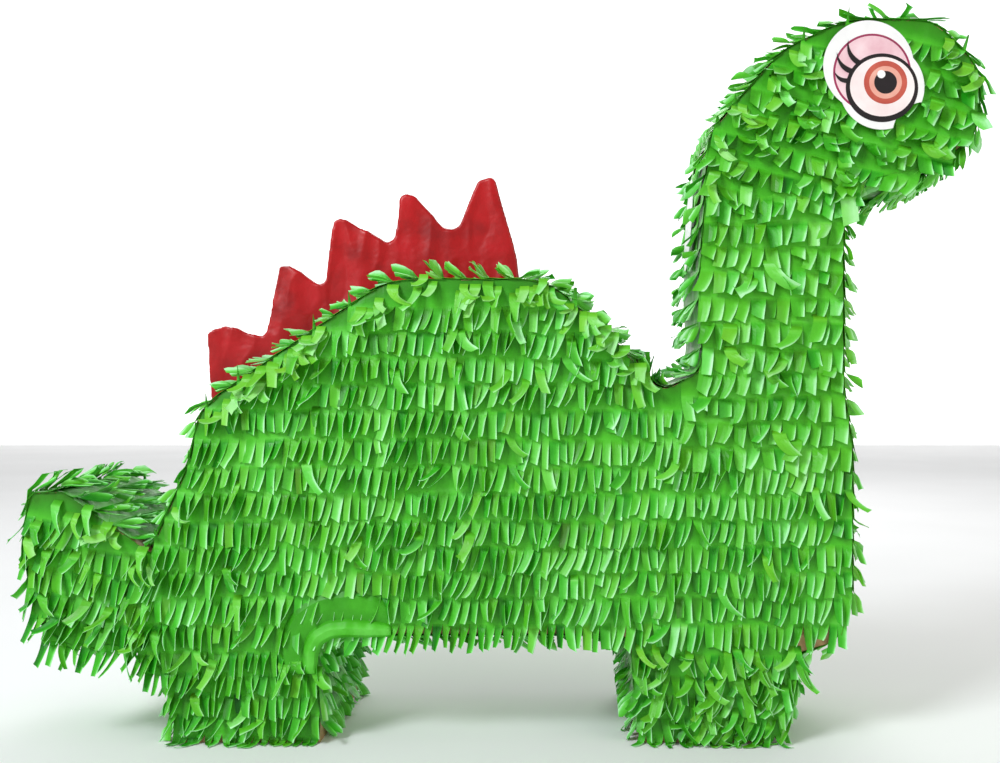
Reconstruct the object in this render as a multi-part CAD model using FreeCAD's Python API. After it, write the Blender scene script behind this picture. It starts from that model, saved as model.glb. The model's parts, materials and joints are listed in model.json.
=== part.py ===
import FreeCAD, Part
import math
import os

# A long-necked dinosaur pinata: a flat box of corrugated card with two side panels cut to the
# animal's outline, joined round the edge by bent card strips and paper tape, covered in rows of
# cut tissue fringe.
#
# Frame: +X towards the head, +Z up, the two side panels face -Y (near) and +Y (far).
# The origin is on the ground, midway between nose and tail and midway between the panels.
# Everything is in millimetres.

# ---- driving dimensions ----
HALF_LENGTH = 271.0         # card body, middle to nose or to tail end
BOX_DEPTH = 98.0            # outside of the near panel to outside of the far panel
CARD = 3.0                  # corrugated card
TAPE = 0.2                  # gummed paper tape over every seam
TAPE_WIDTH = 9.0            # how far the tape reaches on to the panel and on to the strip
CUT_GAP = 0.4               # knife gap round the fill flap and the crest tabs

ROW_PITCH = 15.0            # one row of fringe to the next
ROW_STEP_GAP = 0.2          # free space between two rows
ROW_GLUED = 0.6             # row thickness along its glued upper edge
ROW_FREE = 4.0              # row thickness along its loose cut edge
FRINGE_LIFT = 0.4           # fringe lies this far off the card, over the tape
GROUND_GAP = 0.5            # fringe ends this far above the ground

HINGE_DROP = 7.0            # fill flap's hinge, below the top of the neck's straight run
CREASE_RADIUS = 0.5         # the bead that the creased liner makes along the hinge
FLAP_LENGTH = 70.0          # fill flap, hinge to free edge
FLAP_WIDTH = 62.0
FLAP_FRINGE_START = 9.0     # bare strip below the hinge, so that the fringe clears it when open
FLAP_HEADROOM = 3.0         # bare strip above the hinge, for the flap to lean back over
LABEL_LENGTH = 56.0
LABEL_WIDTH = 40.0
LABEL_START = 9.5           # hinge to the label's upper end
LABEL_THICKNESS = 0.3

EYE_THICKNESS = 0.4
EYE_LID = (207.5, 383.0, 25.5)      # x, z and radius of the sticker's upper round
EYE_BALL = (215.0, 371.0, 24.0)     # its lower round
EYE_BITE = (239.0, 344.5, 18.0)     # the hollow cut out of its lower front

CREST_PAPER = 0.4
CREST_TAB_WIDTH = 20.0
CREST_TAB_DEPTH = 11.0      # how far a tab reaches through the card
CREST_TAB_X = (-40.0, -92.0, -140.0)
CREST_PARTING = 1.0         # free space between the crest and the fringe beside it

HANG_X = 3.0                # as near the centre of mass as the flat of the hump reaches
HANG_HOLE_RADIUS = 3.0
HANG_HOLE_SPACING = 50.0    # across the crest
HANG_WELL_RADIUS = 6.0      # kept free of fringe above each hole
HANG_PLATE_X = (-26.0, 9.0)
PLATE_SIDE_GAP = 1.0        # hang plate to side panel

HUMP_Z = 262.5
BELLY_Z = 62.0
NECK_FRONT_X = 194.0
CHEST_X = 199.0

HALF_DEPTH = BOX_DEPTH / 2.0
STRIP_HALF = HALF_DEPTH - CARD
FACE_Y = -HALF_DEPTH - FRINGE_LIFT      # where the near fringe starts
SAMPLES = 5                             # points along one row on a curved edge
FAR_OUT = 400.0                         # beyond the whole pinata
OVERCUT = 1.0                           # how far a cutting shape runs past what it cuts

# Corners of a side panel, anticlockwise seen from the near side: name, x, z, rounding radius.
# The edge strips start and end at the corners with no rounding.
OUTLINE = [
    ("rear_heel", -184.0, 0.0, 0),
    ("rear_toe", -103.0, 0.0, 0),
    ("rear_knee", -105.0, BELLY_Z, 13),
    ("belly_rear", -84.0, BELLY_Z, 0),
    ("belly_front", 58.0, BELLY_Z, 0),
    ("front_knee", 73.0, BELLY_Z, 9),
    ("front_heel", 80.0, 0.0, 0),
    ("front_toe", 153.0, 0.0, 0),
    ("front_shin", 167.0, 30.0, 30),
    ("chest_fold", 168.0, 51.0, 0),
    ("chest_under", 188.0, 57.0, 9),
    ("chest_low", CHEST_X, 84.0, 30),
    ("chest_top", CHEST_X, 171.0, 80),
    ("neck_root", NECK_FRONT_X, 199.0, 0),
    ("throat", NECK_FRONT_X, 320.0, 21),
    ("chin", 225.0, 324.0, 0),
    ("lip", 247.0, 328.0, 30),
    ("jaw", 265.0, 342.0, 0),
    ("nose", HALF_LENGTH, 353.0, 12),
    ("brow", HALF_LENGTH, 383.0, 28),
    ("crown_front", 246.0, 409.5, 24),
    ("crown", 222.0, 410.0, 0),
    ("crown_back", 197.0, 410.0, 60),
    ("nape_high", 160.0, 393.0, 60),
    ("nape", 131.0, 360.0, 0),
    ("neck_top", 118.5, 345.0, 22),
    ("neck_mid", 113.0, 260.0, 80),
    ("neck_low", 115.0, 228.0, 0),
    ("saddle_neck", 114.0, 210.0, 12),
    ("saddle", 91.0, 199.0, 9),
    ("slope_low", 76.0, 215.0, 0),
    ("slope_mid", 58.0, 234.0, 90),
    ("slope_high", 25.0, HUMP_Z, 38),
    ("hump_front", 9.0, HUMP_Z, 0),
    ("hump_back", -46.0, HUMP_Z, 0),
    ("back_high", -64.0, HUMP_Z, 52),
    ("back_low", -160.0, 197.0, 30),
    ("rump", -171.0, 186.0, 0),
    ("rump_low", -176.0, 160.0, 30),
    ("tail_notch", -199.0, 107.0, 0),
    ("tail_crest", -249.0, 142.0, 9),
    ("tail_tip", -267.0, 141.0, 0),
    ("tail_back", -HALF_LENGTH, 112.0, 12),
    ("tail_low", -262.0, 70.0, 0),
    ("tail_under", -247.0, 57.0, 10),
    ("tail_root", -212.0, 56.0, 20),
    ("haunch", -189.0, 41.0, 0),
]

# Edge strips: name, first corner, last corner.
STRIPS = [
    ("rear_sole", "rear_heel", "rear_toe"),
    ("rear_leg_inner", "rear_toe", "belly_rear"),
    ("belly", "belly_rear", "belly_front"),
    ("front_leg_inner", "belly_front", "front_heel"),
    ("front_sole", "front_heel", "front_toe"),
    ("front_leg_front", "front_toe", "chest_fold"),
    ("chest", "chest_fold", "neck_root"),
    ("neck_front", "neck_root", "chin"),
    ("chin", "chin", "jaw"),
    ("face", "jaw", "crown"),
    ("head_top", "crown", "nape"),
    ("neck_back", "nape", "neck_low"),
    ("saddle", "neck_low", "slope_low"),
    ("hump_slope", "slope_low", "hump_front"),
    ("hump_top", "hump_front", "hump_back"),
    ("back", "hump_back", "rump"),
    ("rump", "rump", "tail_notch"),
    ("tail_top", "tail_notch", "tail_tip"),
    ("tail_end", "tail_tip", "tail_low"),
    ("tail_under", "tail_low", "haunch"),
    ("rear_leg_back", "haunch", "rear_heel"),
]

# Fringe on the edge strips: node, the strips that it covers.
EDGE_FRINGES = [
    ("fringe_edge_tail", ("tail_top", "tail_end", "tail_under")),
    ("fringe_edge_rear_leg", ("rear_leg_back", "rear_leg_inner")),
    ("fringe_edge_belly", ("belly",)),
    ("fringe_edge_front_leg", ("front_leg_inner", "front_leg_front")),
    ("fringe_edge_chest", ("chest", "neck_front")),
    ("fringe_edge_chin", ("chin",)),
    ("fringe_edge_head", ("face", "head_top")),
    ("fringe_edge_neck_back", ("neck_back",)),
    ("fringe_edge_saddle", ("saddle", "hump_slope")),
    ("fringe_edge_hump", ("hump_top",)),
    ("fringe_edge_back", ("back",)),
    ("fringe_edge_rump", ("rump",)),
]

# Parts of a side panel that are fringed on their own: name, lower left and upper right corner
# of the part, and the tilt of its rows in degrees.
TAIL_SEAM_X = -199.5
LEG_PARTING_X = -20.0
LEG_TOP_Z = 54.0
NECK_FOOT_Z = 204.0
NECK_REAR_X = 103.0
HEAD_FOOT_Z = 315.0
FACE_PARTS = [
    ("tail", (-FAR_OUT, GROUND_GAP), (TAIL_SEAM_X, FAR_OUT), -7.0),
    ("rear_leg", (TAIL_SEAM_X, GROUND_GAP), (LEG_PARTING_X, LEG_TOP_Z), 0.0),
    ("front_leg", (LEG_PARTING_X, GROUND_GAP), (FAR_OUT, LEG_TOP_Z), 0.0),
    ("body", (TAIL_SEAM_X, LEG_TOP_Z), (FAR_OUT, NECK_FOOT_Z), 0.0),
    ("hump", (TAIL_SEAM_X, NECK_FOOT_Z), (NECK_REAR_X, FAR_OUT), 0.0),
    ("neck", (NECK_REAR_X, NECK_FOOT_Z), (FAR_OUT, HEAD_FOOT_Z), 0.0),
    ("head", (NECK_REAR_X, HEAD_FOOT_Z), (FAR_OUT, FAR_OUT + HEAD_FOOT_Z), -12.0),
]

# Red crest, anticlockwise from its buried foot: x, z, rounding radius.
CREST = [
    (-150.0, 160.0, 0),
    (-20.0, 230.0, 0),
    (6.0, 262.0, 0),
    (5.0, 280.0, 3),
    (-9.0, 329.0, 2.5),
    (-17.0, 327.0, 2.5),
    (-33.0, 290.0, 8),
    (-57.0, 317.0, 3),
    (-64.0, 319.0, 2.5),
    (-69.0, 285.0, 6),
    (-98.0, 303.0, 4),
    (-105.0, 304.5, 3),
    (-111.0, 259.0, 6),
    (-133.0, 275.0, 3),
    (-139.0, 276.0, 2.5),
    (-147.0, 230.0, 6),
    (-173.0, 239.0, 3),
    (-183.0, 234.0, 3),
    (-178.0, 178.0, 0),
]

NODES = {}


# ---- small geometry helpers, all in the XZ plane ----
def point(x, z):
    return FreeCAD.Vector(x, 0.0, z)


def along_y(distance):
    return FreeCAD.Vector(0.0, distance, 0.0)


def left_of(direction):
    return FreeCAD.Vector(-direction.z, 0.0, direction.x)


def unit(vector):
    return vector / vector.Length


def turn_between(before, after):
    """Signed angle from one direction to the next, positive to the left."""
    cross = before.x * after.z - before.z * after.x
    return math.atan2(cross, before.dot(after))


def inset(corners, distance):
    """The closed run of (point, radius) corners moved inwards, or outwards if negative."""
    moved = []
    for i, (here, radius) in enumerate(corners):
        before = unit(here - corners[i - 1][0])
        after = unit(corners[(i + 1) % len(corners)][0] - here)
        sides = left_of(before) + left_of(after)
        shift = sides * (distance / (1.0 + left_of(before).dot(left_of(after))))
        if radius:
            inwards = distance if turn_between(before, after) > 0 else -distance
            radius = max(radius - inwards, 0.0)
        moved.append((here + shift, radius))
    return moved


def corner_arc(corners, i):
    """Start, middle and end of the rounding at one corner."""
    here, radius = corners[i]
    before = unit(here - corners[i - 1][0])
    after = unit(corners[(i + 1) % len(corners)][0] - here)
    half_turn = abs(turn_between(before, after)) / 2.0
    if radius < 0.01 or half_turn < 0.001:
        return here, here, here
    reach = radius * math.tan(half_turn)
    middle = here + unit(after - before) * (radius / math.cos(half_turn) - radius)
    return here - before * reach, middle, here + after * reach


def run_edges(corners, first, last):
    """Lines and arcs from one corner to another, the way the corners are listed."""
    edges = []
    count = len(corners)
    steps = (last - first) % count or count
    for k in range(steps):
        start = corner_arc(corners, (first + k) % count)[2]
        arc = corner_arc(corners, (first + k + 1) % count)
        if (arc[0] - start).Length > 0.001:
            edges.append(Part.LineSegment(start, arc[0]).toShape())
        if (arc[2] - arc[0]).Length > 0.001 and (k + 1 < steps or steps == count):
            edges.append(Part.Arc(*arc).toShape())
    return edges


def face_of(edges):
    return Part.Face(Part.Wire(Part.sortEdges(edges)[0]))


def closed_face(corners):
    return face_of(run_edges(corners, 0, 0))


def polygon_face(points):
    return Part.Face(Part.makePolygon(points + [points[0]]))


def prism(face, y_low, y_high):
    """A face of the XZ plane carried from one Y to another."""
    return face.translated(along_y(y_low)).extrude(along_y(y_high - y_low))


def cylinder(x, z, radius, y_low, y_high):
    """A round bar along Y."""
    return Part.makeCylinder(radius, y_high - y_low, FreeCAD.Vector(x, y_low, z), along_y(1.0))


def box_between(low, high):
    """A box from its low corner to its high corner, each x, y, z."""
    low = FreeCAD.Vector(*low)
    size = FreeCAD.Vector(*high) - low
    return Part.makeBox(size.x, size.y, size.z, low)


def below(z):
    """Everything lower than a height."""
    return box_between((-FAR_OUT, -FAR_OUT, -FAR_OUT), (FAR_OUT, FAR_OUT, z))


def far_copy(shape):
    """The same piece on the far side."""
    return shape.mirror(FreeCAD.Vector(0, 0, 0), along_y(1.0))


OUTLINE_CORNERS = [(point(x, z), radius) for _, x, z, radius in OUTLINE]
CORNER_INDEX = {entry[0]: i for i, entry in enumerate(OUTLINE)}


# ---- card box ----
def side_panel():
    return prism(closed_face(OUTLINE_CORNERS), -HALF_DEPTH, -HALF_DEPTH + CARD)


def edge_strip(first, last):
    """A card strip bent along the outline, between the two panels."""
    first, last = CORNER_INDEX[first], CORNER_INDEX[last]
    inner_corners = inset(OUTLINE_CORNERS, CARD)
    outer = run_edges(OUTLINE_CORNERS, first, last)
    inner = run_edges(inner_corners, first, last)
    ends = [
        Part.LineSegment(OUTLINE_CORNERS[i][0], inner_corners[i][0]).toShape()
        for i in (first, last)
    ]
    return prism(face_of(outer + inner + ends), -STRIP_HALF, STRIP_HALF)


def seam_tape():
    """Tape folded over the near panel's rim: a flat ring on the panel and a band on the strips."""
    outside = closed_face(inset(OUTLINE_CORNERS, -TAPE))
    card = closed_face(OUTLINE_CORNERS)
    hollow = face_of(card.Wires[0].makeOffset2D(-TAPE_WIDTH).Edges)
    ring = prism(outside.cut(hollow), -HALF_DEPTH - TAPE, -HALF_DEPTH)
    band = prism(outside.cut(card), -HALF_DEPTH, -HALF_DEPTH + TAPE_WIDTH)
    tape = ring.fuse(band).removeSplitter()
    return tape.cut(below(0.0))


# ---- fill flap in the back of the neck ----
class NeckRun:
    """The straight run of the neck's back that carries the flap, measured down from the hinge."""

    start = OUTLINE_CORNERS[CORNER_INDEX["neck_top"]][0]
    end = OUTLINE_CORNERS[CORNER_INDEX["neck_mid"]][0]
    down = unit(end - start)
    outward = left_of(down) * -1.0
    hinge = start + down * HINGE_DROP

    @classmethod
    def slab(cls, top, bottom, out_top, out_bottom, base, half_width):
        """A piece from top to bottom along the run, from base out to a thickness at each end."""
        corners = [
            cls.hinge + cls.down * top + cls.outward * base,
            cls.hinge + cls.down * bottom + cls.outward * base,
            cls.hinge + cls.down * bottom + cls.outward * out_bottom,
            cls.hinge + cls.down * top + cls.outward * out_top,
        ]
        return prism(polygon_face(corners), -half_width, half_width)


def crease(radius, half_width):
    """A round bar along the hinge axis."""
    return cylinder(NeckRun.hinge.x, NeckRun.hinge.z, radius, -half_width, half_width)


def flap_opening():
    """The three cuts round the flap, and a groove for the crease to turn in."""
    half_width = FLAP_WIDTH / 2.0
    out = OVERCUT
    window = NeckRun.slab(0.0, FLAP_LENGTH, out, out, -CARD - OVERCUT, half_width)
    return window.fuse(crease(CREASE_RADIUS + CUT_GAP, half_width))


def fill_flap():
    half_width = FLAP_WIDTH / 2.0 - CUT_GAP
    card = NeckRun.slab(CUT_GAP, FLAP_LENGTH - CUT_GAP, 0.0, 0.0, -CARD, half_width)
    return card.fuse(crease(CREASE_RADIUS, half_width))


def flap_fringe():
    """Rows glued to the flap, from just below the hinge to its free edge."""
    length = FLAP_LENGTH - CUT_GAP - FLAP_FRINGE_START
    count = round(length / ROW_PITCH)
    pitch = length / count
    rows = []
    for k in range(count):
        top = FLAP_FRINGE_START + k * pitch
        bottom = top + pitch - ROW_STEP_GAP
        thin = FRINGE_LIFT + ROW_GLUED
        thick = FRINGE_LIFT + ROW_FREE
        half_width = FLAP_WIDTH / 2.0 - 2.0 * CUT_GAP
        rows.append(NeckRun.slab(top, bottom, thin, thick, FRINGE_LIFT, half_width))
    return Part.makeCompound(rows)


def label():
    """An oval paper label on top of the flap's fringe."""
    middle = NeckRun.hinge + NeckRun.down * (LABEL_START + LABEL_LENGTH / 2.0)
    middle += NeckRun.outward * (FRINGE_LIFT + ROW_FREE + ROW_STEP_GAP)
    oval = Part.Ellipse(FreeCAD.Vector(0, 0, 0), LABEL_LENGTH / 2.0, LABEL_WIDTH / 2.0)
    face = Part.Face(Part.Wire(oval.toShape()))
    shape = face.extrude(FreeCAD.Vector(0, 0, LABEL_THICKNESS))
    shape.Placement = FreeCAD.Placement(
        middle,
        FreeCAD.Rotation(NeckRun.down, along_y(1.0), NeckRun.outward, "ZXY"),
    )
    return shape


# ---- hanging point ----
def hang_holes():
    """Two holes for the hanging cord, one each side of the crest."""
    depth = 2.0 * CARD + 2.0 * OVERCUT
    return hang_bars(HANG_HOLE_RADIUS, HUMP_Z - 2.0 * CARD - OVERCUT, depth)


def hang_bars(radius, bottom, height):
    """Upright round bars where the two holes are."""
    bars = [
        Part.makeCylinder(radius, height, FreeCAD.Vector(HANG_X, side, bottom))
        for side in (-HANG_HOLE_SPACING / 2.0, HANG_HOLE_SPACING / 2.0)
    ]
    return Part.makeCompound(bars)


def hang_plate():
    """Card doubler glued under the hump, round the cord holes."""
    rear, front = HANG_PLATE_X
    half_width = STRIP_HALF - PLATE_SIDE_GAP
    top = HUMP_Z - CARD
    return box_between((rear, -half_width, top - CARD), (front, half_width, top))


# ---- crest ----
def crest_face(growth):
    """The crest's outline grown by a margin, down to the back of the card box."""
    corners = [(point(x, z), radius) for x, z, radius in CREST]
    whole = closed_face(inset(corners, -growth))
    return whole.cut(closed_face(inset(OUTLINE_CORNERS, -TAPE)))


def crest_tabs(slack):
    """Tabs under the crest that go through the card, or their slots when there is slack."""
    edges = run_edges(OUTLINE_CORNERS, CORNER_INDEX["hump_front"], CORNER_INDEX["rump"])
    half_width = CREST_TAB_WIDTH / 2.0 + slack
    tabs = []
    for x in CREST_TAB_X:
        edge = next(e for e in edges if e.BoundBox.XMin <= x <= e.BoundBox.XMax)
        start, end = [vertex.Point for vertex in edge.Vertexes]
        foot = start + (end - start) * ((x - start.x) / (end.x - start.x))
        way = unit(edge.tangentAt(edge.FirstParameter))
        inwards = left_of(way)
        quad = [
            foot - way * half_width - inwards * CARD,
            foot + way * half_width - inwards * CARD,
            foot + way * half_width + inwards * (CREST_TAB_DEPTH + slack),
            foot - way * half_width + inwards * (CREST_TAB_DEPTH + slack),
        ]
        tabs.append(prism(polygon_face(quad), -CARD / 2.0 - slack, CARD / 2.0 + slack))
    return tabs


def crest_core():
    core = prism(crest_face(0.0), -CARD / 2.0, CARD / 2.0)
    return core.multiFuse(crest_tabs(0.0)).removeSplitter()


def crest_cover():
    """Red paper wrapped round the crest, open along the foot."""
    half = CARD / 2.0 + CREST_PAPER
    sleeve = prism(crest_face(CREST_PAPER), -half, half)
    sleeve = sleeve.cut(prism(crest_face(0.0), -CARD / 2.0, CARD / 2.0))
    return sleeve.cut(Part.makeCompound(crest_tabs(0.0)))


# ---- fringe ----
def face_rows(low, high, tilt):
    """Rows on the near panel inside one rectangle, each thin where glued and thick where loose."""
    window = box_between((low[0], FACE_Y - 2.0 * ROW_FREE, low[1]), (high[0], FACE_Y, high[1]))
    region = prism(closed_face(OUTLINE_CORNERS), FACE_Y - 2.0 * ROW_FREE, FACE_Y).common(window)
    middle = region.BoundBox.Center
    region.rotate(middle, FreeCAD.Vector(0, 1, 0), tilt)
    bounds = region.BoundBox
    start = bounds.XMin - OVERCUT
    count = math.ceil(bounds.ZLength / ROW_PITCH)
    rows = []
    for k in range(count):
        bottom = bounds.ZMin + k * ROW_PITCH
        top = bottom + ROW_PITCH - ROW_STEP_GAP
        section = polygon_face([
            FreeCAD.Vector(start, FACE_Y, bottom),
            FreeCAD.Vector(start, FACE_Y, top),
            FreeCAD.Vector(start, FACE_Y - ROW_GLUED, top),
            FreeCAD.Vector(start, FACE_Y - ROW_FREE, bottom),
        ])
        length = bounds.XLength + 2.0 * OVERCUT
        row = section.extrude(FreeCAD.Vector(length, 0, 0)).common(region)
        rows.extend(row.Solids)
    shape = Part.makeCompound(rows)
    shape.rotate(middle, FreeCAD.Vector(0, 1, 0), -tilt)
    return shape


class EdgeRun:
    """Places along an edge strip by distance from its first corner."""

    def __init__(self, first, last):
        self.first = CORNER_INDEX[first]
        self.last = CORNER_INDEX[last]
        self.edges = run_edges(OUTLINE_CORNERS, self.first, self.last)
        self.length = sum(edge.Length for edge in self.edges)

    def place(self, distance):
        """The point on the card and the outward direction there."""
        for edge in self.edges:
            if distance <= edge.Length or edge is self.edges[-1]:
                break
            distance -= edge.Length
        at = edge.getParameterByLength(min(distance, edge.Length))
        return edge.valueAt(at), left_of(edge.tangentAt(at)) * -1.0

    def margin(self, corner):
        """Clear length that a row needs beside a corner that folds outwards."""
        here = OUTLINE_CORNERS[corner][0]
        before = unit(here - OUTLINE_CORNERS[corner - 1][0])
        after = unit(OUTLINE_CORNERS[(corner + 1) % len(OUTLINE_CORNERS)][0] - here)
        turn = turn_between(before, after)
        fold = max(-turn, 0.0) / 2.0
        return (FRINGE_LIFT + ROW_FREE) * math.tan(fold) + ROW_STEP_GAP

    def row(self, start, end, y_low, y_high):
        """One row across the strip, loose along its lower edge."""
        stations = [start + (end - start) * k / (SAMPLES - 1) for k in range(SAMPLES)]
        places = [self.place(s) for s in stations]
        falls = places[-1][0].z < places[0][0].z
        under = []
        over = []
        for k, (foot, outward) in enumerate(places):
            share = k / (SAMPLES - 1) if falls else 1.0 - k / (SAMPLES - 1)
            thickness = ROW_GLUED + (ROW_FREE - ROW_GLUED) * share
            under.append(foot + outward * FRINGE_LIFT)
            over.append(foot + outward * (FRINGE_LIFT + thickness))
        return prism(polygon_face(under + over[::-1]), y_low, y_high)

    def rows(self, y_low, y_high):
        low = self.margin(self.first)
        high = self.length - self.margin(self.last)
        count = max(1, round((high - low) / ROW_PITCH))
        pitch = (high - low) / count
        return [
            self.row(low + k * pitch, low + (k + 1) * pitch - ROW_STEP_GAP, y_low, y_high)
            for k in range(count)
        ]


def edge_fringe(strips):
    """Rows across the named edge strips, parted for the crest, the flap and the hanging cord."""
    ends = {name: (first, last) for name, first, last in STRIPS}
    rows = []
    for name in strips:
        run = EdgeRun(*ends[name])
        if name in ("back", "hump_top", "rump"):
            parting = CARD / 2.0 + CREST_PAPER + CREST_PARTING
            rows += run.rows(-HALF_DEPTH, -parting)
            rows += run.rows(parting, HALF_DEPTH)
        else:
            rows += run.rows(-HALF_DEPTH, HALF_DEPTH)
    shape = Part.makeCompound(rows)
    if "hump_top" in strips:
        shape = shape.cut(hang_bars(HANG_WELL_RADIUS, 0.0, FAR_OUT))
    if "neck_back" in strips:
        shape = shape.cut(flap_clearance())
    return shape.cut(below(GROUND_GAP))


def flap_clearance():
    """Space kept free of the neck's own fringe round the flap."""
    reach = FRINGE_LIFT + ROW_FREE + OVERCUT
    half_width = FLAP_WIDTH / 2.0 + CUT_GAP
    return NeckRun.slab(-FLAP_HEADROOM, FLAP_LENGTH + CUT_GAP, reach, reach, -CARD, half_width)


# ---- eye ----
def eye_sticker():
    """Die-cut eye sticker on top of the near fringe."""
    back = FACE_Y - ROW_FREE - ROW_STEP_GAP
    front = back - EYE_THICKNESS
    sticker = cylinder(*EYE_LID, front, back).fuse(cylinder(*EYE_BALL, front, back))
    bite = cylinder(*EYE_BITE, front - OVERCUT, back + OVERCUT)
    return sticker.cut(bite).removeSplitter()


# ---- assembly ----
def build():
    NODES["side_panel_near"] = side_panel()
    NODES["side_panel_far"] = far_copy(side_panel())
    slots = Part.makeCompound(crest_tabs(CUT_GAP / 2.0))
    for name, first, last in STRIPS:
        strip = edge_strip(first, last)
        if name == "neck_back":
            strip = strip.cut(flap_opening())
        if name in ("hump_top", "back"):
            strip = strip.cut(slots)
        if name == "hump_top":
            strip = strip.cut(hang_holes())
        NODES["edge_" + name] = strip
    NODES["seam_tape_near"] = seam_tape()
    NODES["seam_tape_far"] = far_copy(seam_tape())
    NODES["fill_flap"] = fill_flap()
    NODES["fringe_flap"] = flap_fringe()
    NODES["neck_label"] = label()
    NODES["hang_plate"] = hang_plate().cut(hang_holes())
    NODES["crest_core"] = crest_core()
    NODES["crest_cover"] = crest_cover()
    for name, low, high, tilt in FACE_PARTS:
        rows = face_rows(low, high, tilt)
        NODES["fringe_" + name + "_near"] = rows
        NODES["fringe_" + name + "_far"] = far_copy(rows)
    for name, strips in EDGE_FRINGES:
        NODES[name] = edge_fringe(strips)
    NODES["eye_near"] = eye_sticker()
    NODES["eye_far"] = far_copy(eye_sticker())


def write():
    os.makedirs("parts", exist_ok=True)
    for name, shape in NODES.items():
        solids = shape.Solids
        whole = solids[0] if len(solids) == 1 else Part.makeCompound(solids)
        if not whole.isValid() or min(solid.Volume for solid in solids) <= 0.0:
            raise ValueError(name + " is not a sound solid")
        whole.exportStep(os.path.join("parts", name + ".step"))


build()
write()
print(len(NODES), "nodes")
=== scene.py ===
import json
import math

import bpy
import numpy as np
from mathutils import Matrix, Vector, noise


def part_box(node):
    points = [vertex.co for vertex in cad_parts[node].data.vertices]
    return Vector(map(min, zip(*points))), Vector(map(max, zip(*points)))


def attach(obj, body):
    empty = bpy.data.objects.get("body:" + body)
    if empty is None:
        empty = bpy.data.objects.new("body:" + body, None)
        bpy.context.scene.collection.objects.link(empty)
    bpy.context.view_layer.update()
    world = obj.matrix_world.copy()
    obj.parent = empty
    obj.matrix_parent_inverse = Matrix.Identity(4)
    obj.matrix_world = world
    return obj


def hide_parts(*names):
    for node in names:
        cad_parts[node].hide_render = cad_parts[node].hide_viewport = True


# The looks of a paper pinata: cut tissue fringe over its card box, a crinkled red crest, printed eyes
# and a label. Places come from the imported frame. Lengths are in metres.

MM = 0.001
SEED = 7

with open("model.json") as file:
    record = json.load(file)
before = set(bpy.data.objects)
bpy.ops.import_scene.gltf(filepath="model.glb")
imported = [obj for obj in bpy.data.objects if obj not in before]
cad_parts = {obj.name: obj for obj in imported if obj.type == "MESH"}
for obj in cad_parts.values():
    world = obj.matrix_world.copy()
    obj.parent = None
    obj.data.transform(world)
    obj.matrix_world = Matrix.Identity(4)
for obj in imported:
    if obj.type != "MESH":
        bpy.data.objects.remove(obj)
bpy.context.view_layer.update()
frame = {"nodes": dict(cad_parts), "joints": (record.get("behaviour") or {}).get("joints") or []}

NEAR, FAR = -1, 1
SIDES = ((NEAR, "near"), (FAR, "far"))


def color(red, green, blue):
    """A screen colour, 0 to 255, as linear light."""
    return tuple(((c / 255.0 + 0.055) / 1.055) ** 2.4 if c > 10 else c / 255.0 / 12.92
                 for c in (red, green, blue)) + (1.0,)


# ---------------------------------------------------------------- reading the frame
def flat_rim(node, y):
    """Corners, in order, of a node's flat face that lies at y, as an array of x, z."""
    mesh = frame["nodes"][node].data
    tolerance = 0.02 * MM
    decimals = 5        # of a metre, which tell two corners apart
    directed = set()
    for polygon in mesh.polygons:
        corners = [mesh.vertices[i].co for i in polygon.vertices]
        if all(abs(corner.y - y) < tolerance for corner in corners):
            keys = [(round(c.x, decimals), round(c.z, decimals)) for c in corners]
            directed.update((a, b) for a, b in zip(keys, keys[1:] + keys[:1]) if a != b)
    after = {a: b for a, b in directed if (b, a) not in directed}
    start = min(after, key=lambda p: (round(p[1], 3), p[0]))
    loop = [start]
    while after[loop[-1]] != start:
        loop.append(after[loop[-1]])
    return np.array(loop)


def within(rim, x, z):
    """True where a place is inside a closed line of corners."""
    result = np.zeros(np.broadcast(x, z).shape, bool)
    for (ax, az), (bx, bz) in zip(rim, np.roll(rim, -1, axis=0)):
        if az != bz:
            crosses = (az > z) != (bz > z)
            result ^= crosses & (x < (bx - ax) * (z - az) / (bz - az) + ax)
    return result


class Outline:
    """The rim of the side panels, anticlockwise seen from the near side, starting at the rear heel."""

    def __init__(self, loop):
        self.loop = loop
        steps = np.roll(loop, -1, axis=0) - loop
        self.lengths = np.hypot(steps[:, 0], steps[:, 1])
        self.starts = np.concatenate([[0.0], np.cumsum(self.lengths)])
        self.total = self.starts[-1]
        self.closed = np.vstack([loop, loop[:1]])

    def point(self, distance):
        """Places on the rim by distance from its start."""
        s = np.mod(distance, self.total)
        return np.stack([np.interp(s, self.starts, self.closed[:, i]) for i in (0, 1)], axis=-1)

    def outward(self, distance):
        """Outward directions there, smoothed over a few millimetres."""
        reach = 2.5 * MM
        way = self.point(distance + reach) - self.point(distance - reach)
        way /= np.maximum(np.linalg.norm(way, axis=-1, keepdims=True), 1e-9)
        return np.stack([way[..., 1], -way[..., 0]], axis=-1)

    def inside(self, x, z):
        """True where a place is within the rim."""
        return within(self.loop, x, z)

    def station(self, x, z):
        """Distance along the rim to the place nearest to x, z, and how far off that place is."""
        place = np.array([x, z])
        starts = self.closed[:-1]
        steps = self.closed[1:] - starts
        share = np.clip(((place - starts) * steps).sum(1) / (steps ** 2).sum(1), 0.0, 1.0)
        gaps = np.linalg.norm(starts + steps * share[:, None] - place, axis=1)
        best = int(gaps.argmin())
        return self.starts[best] + share[best] * self.lengths[best], gaps[best]

    def span(self, node):
        """Where an edge strip starts and ends along the rim."""
        on_rim = 0.1 * MM
        stations = []
        for vertex in frame["nodes"][node].data.vertices:
            distance, gap = self.station(vertex.co.x, vertex.co.z)
            if gap < on_rim:
                stations.append(distance)
        low, high = min(stations), max(stations)
        half_way = 0.5 * self.total
        if high - low > half_way:
            low = min(s for s in stations if s > half_way)
            high = self.total
        return low, high


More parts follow.
